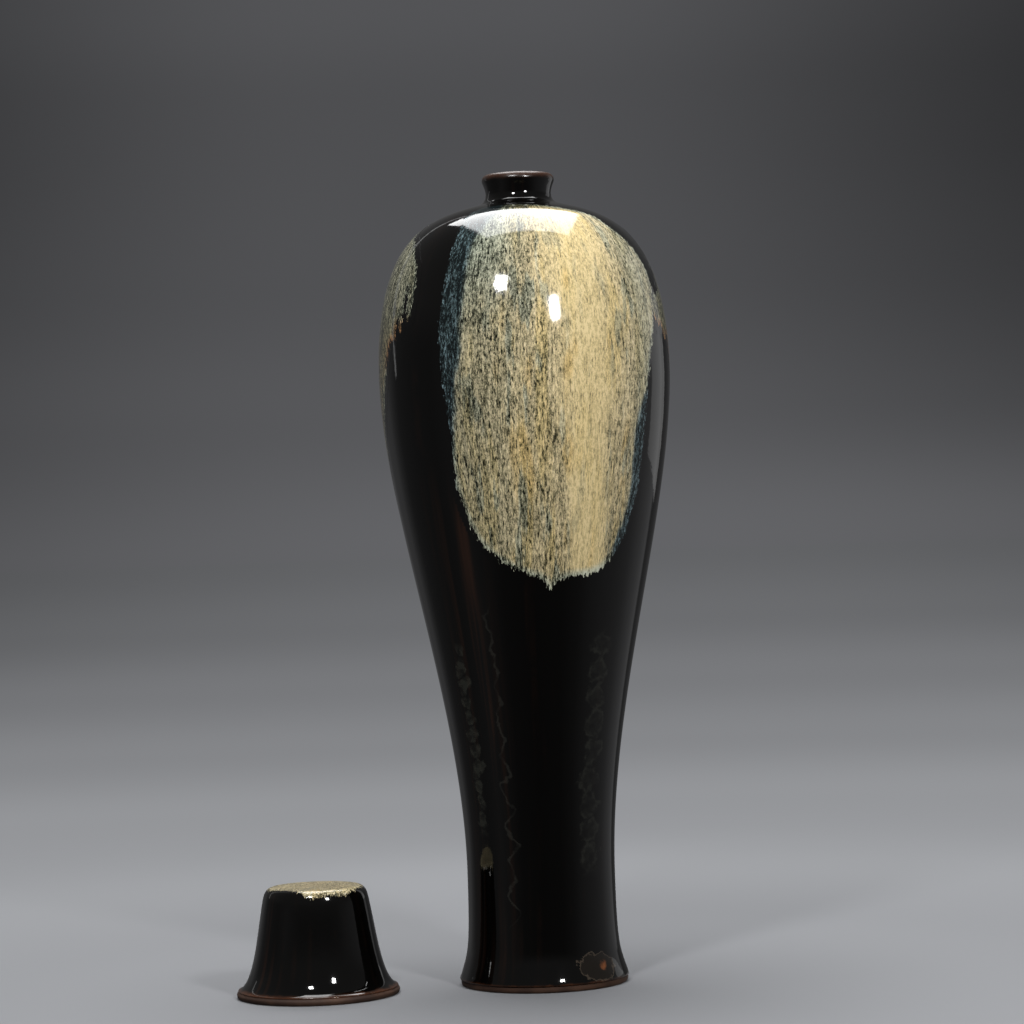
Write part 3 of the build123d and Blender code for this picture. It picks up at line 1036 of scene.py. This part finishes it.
# Painted shade in greys: the floor's from the vase outwards, and the air's from the horizon up
FLOOR_GREYS_AND_PAINTED_SHADE = (
    (0.0, 0.228), (0.12, 0.265), (0.24, 0.335), (0.367, 0.305), (0.5, 0.24), (0.643, 0.194),
    (0.794, 0.152), (0.968, 0.127))
AIR_GREYS_PAINTED_SHADE = ((0.0, 0.127), (0.25, 0.097), (0.5, 0.083), (0.83, 0.0775), (1.0, 0.088))


def with_cast(stops, cast):
    """A ramp's stops from greys, each with a faint cast of colour."""
    return [(place, (*(grey * share for share in cast), 1.0)) for place, grey in stops]


def surroundings(wire, x, y):
    """The room's brightness in a direction, for light and gloss: dim in front, bright aside."""
    azimuth = wire.math("ARCTAN2", x, wire.times(y, -1.0))
    share = wire.spread(azimuth, -math.pi, math.pi, kind="LINEAR")
    stops = [((azimuth + 180) / 360, grey) for azimuth, grey in ROOM]
    return wire.ramp(share, with_cast(stops, (1.0, 1.0, 1.02)))


def painted_side_shade(wire, aside, middle, pace):
    """Painted shade: how the backdrop darkens to both sides of its middle."""
    past = wire.minus(wire.math("ABSOLUTE", wire.minus(aside, middle)), 0.03)
    past = wire.larger(past, 0.0)
    fall = wire.times(past, past, pace)
    return wire.larger(wire.math("DIVIDE", 1.0, wire.plus(fall, 1.0)), 0.42)


class VASE_OT_studio(bpy.types.Operator):
    """Set the floor, the soft studio light and the camera"""

    bl_idname = "vase.studio"
    bl_label = "Studio"

    def execute(self, context):
        scene = context.scene
        scene.view_settings.view_transform = "Standard"
        self.floor(scene)
        self.air(scene)
        self.lamps(scene.studio_look)
        self.camera(scene)
        return {"FINISHED"}

    def lamps(self, studio):
        """A softbox overhead, two small lamps in front, and a panel and a strip at the sides."""
        lamp("softbox", (0.0, 0.44, 1.39), (0.0, 0.44, 0.0), (0.94, 1.18), studio.softbox, 8)
        for name, point, azimuth, climb, distance, size, brightness, turn in (
                ("front_lamp_left", (-0.0105, -0.0705, 0.36), -18.7, 33.2, 1.0, (0.125, 0.145),
                 studio.spots, 0),
                ("front_lamp_right", (0.016, -0.072, 0.347), 26.4, 20.2, 1.0, (0.105, 0.165),
                 studio.spots, 0),
                ("side_panel", (0.0, 0.0, 0.57), 129.8, 0, 1.2, (0.55, 0.86), studio.panel, 0),
                ("left_strip", (-0.062, 0.0, 0.372), -141, 23, 1.5, (0.06, 1.7),
                 studio.strip, 45)):
            place = place_from(point, azimuth, climb, distance)
            lamp(name, place, point, size, brightness, turn)

    def camera(self, scene):
        view = bpy.data.cameras.new("camera")
        view.lens = CAMERA_LENS
        view.sensor_width = 36.0
        view.shift_y = CAMERA_SHIFT
        stand = bpy.data.objects.new("camera", view)
        stand.matrix_world = (
            Matrix.Translation(CAMERA_PLACE)
            @ Matrix.Rotation(math.radians(CAMERA_LEAN), 4, "Y")
            @ Matrix.Rotation(math.radians(90), 4, "X"))
        scene.collection.objects.link(stand)
        scene.camera = stand

    def floor(self, scene):
        """A broad pale floor that keeps shadows near the vase, and farther off glows with painted
        shade that fades it darker far away.
        """
        shell = bmesh.new()
        bmesh.ops.create_circle(shell, cap_ends=True, radius=60.0, segments=96)
        mesh = bpy.data.meshes.new("floor")
        shell.to_mesh(mesh)
        shell.free()
        material, wire = new_material("floor_paper")
        place = wire.add("TexCoord", {}).outputs["Object"]
        away = wire.add("VectorMath", {0: place}, operation="LENGTH").outputs["Value"]
        share = wire.math("DIVIDE", away, wire.plus(away, 2.0))
        colour = wire.ramp(share, with_cast(FLOOR_GREYS_AND_PAINTED_SHADE, (0.97, 0.99, 1.04)), "EASE")
        x, y, _ = wire.add("SeparateXYZ", {0: place}).outputs
        aside = wire.math("DIVIDE", x, wire.plus(away, 1.63))
        colour = wire.vector("MULTIPLY", colour, painted_side_shade(
            wire, aside, 0.018, wire.spread(share, 0.45, 0.95, 0.0, 13.0)))
        # Near the vase the floor is lit and keeps shadows; farther off it glows, its greys
        # darkening far away as painted shade
        near = wire.spread(away, 0.25, 0.9, 1.0, 0.0)
        lit = wire.add("BsdfDiffuse", {"Color": colour})
        glow = wire.add("Emission", {"Color": colour, "Strength": 1.0})
        seen = wire.add("MixShader", {0: near, 1: glow.outputs[0], 2: lit.outputs[0]})
        # To all but the camera the floor glows with the room's brightness: a painted glow that
        # lights the vase and shows in its gloss
        dim = wire.add("Emission", {"Color": surroundings(wire, x, y)})
        ray = wire.add("LightPath", {}).outputs["Is Camera Ray"]
        both = wire.add("MixShader", {0: ray, 1: dim.outputs[0], 2: seen.outputs[0]})
        wire.add("OutputMaterial", {0: both.outputs[0]})
        mesh.materials.append(material)
        floor = bpy.data.objects.new("floor", mesh)
        scene.collection.objects.link(floor)

    def air(self, scene):
        """A grey backdrop with painted shade that darkens it upwards, and dim surroundings for the
        light and gloss.
        """
        world = bpy.data.worlds.new("studio_air")
        world.use_nodes = True
        scene.world = world
        wire = Wiring(world.node_tree)
        way = wire.add("TexCoord", {}).outputs["Generated"]
        x, y, z = wire.add("SeparateXYZ", {0: way}).outputs
        # Painted shade darkens the backdrop upwards from the horizon and to both sides
        climb = wire.spread(z, 0.0, 0.17, kind="LINEAR")
        seen = wire.ramp(climb, with_cast(AIR_GREYS_PAINTED_SHADE, (0.98, 0.99, 1.05)), "EASE")
        level = wire.math("SQRT", wire.minus(1.0, wire.times(z, z)))
        aside = wire.math("DIVIDE", x, wire.larger(level, 0.01))
        fall = painted_side_shade(wire, aside, wire.spread(climb, 0.0, 0.35, 0.018, -0.022),
                         wire.spread(climb, 0.0, 0.7, 13.0, 50.0, "LINEAR"))
        seen = wire.vector("MULTIPLY", seen, fall)
        surround = wire.blend(
            wire.spread(z, 0.1, 0.35), surroundings(wire, x, y), (0.11, 0.11, 0.11, 1.0))
        ray = wire.add("LightPath", {}).outputs["Is Camera Ray"]
        glow = wire.add("Background", {0: wire.blend(ray, surround, seen), 1: 1.0})
        wire.add("OutputWorld", {0: glow.outputs[0]})


class VASE_PT_sidebar(bpy.types.Panel):
    """The vase's sizes, colours and steps"""

    bl_label = "Meiping Vase"
    bl_space_type = "VIEW_3D"
    bl_region_type = "UI"
    bl_category = "Vase"

    def draw(self, context):
        for name in GROUPS:
            group = getattr(context.scene, name)
            box = self.layout.box()
            for prop in group.__annotations__:
                box.prop(group, prop)
        for step in STEPS:
            self.layout.operator(step.bl_idname)


STEPS = (VASE_OT_clay, VASE_OT_coat, VASE_OT_splashes, VASE_OT_cap, VASE_OT_studio)
GROUPS = {"vase_shape": VaseShape, "glaze_look": GlazeLook, "studio_look": StudioLook}


def register():
    for part in (*GROUPS.values(), *STEPS, VASE_PT_sidebar):
        bpy.utils.register_class(part)
    for name, group in GROUPS.items():
        setattr(bpy.types.Scene, name, bpy.props.PointerProperty(type=group))


def unregister():
    for name in GROUPS:
        delattr(bpy.types.Scene, name)
    for part in (VASE_PT_sidebar, *STEPS[::-1], *list(GROUPS.values())[::-1]):
        bpy.utils.unregister_class(part)


def main():
    register()
    bpy.ops.vase.clay()
    bpy.ops.vase.coat()
    bpy.ops.vase.splashes()
    bpy.ops.vase.cap()
    bpy.ops.vase.studio()


if __name__ == "__main__":
    main()
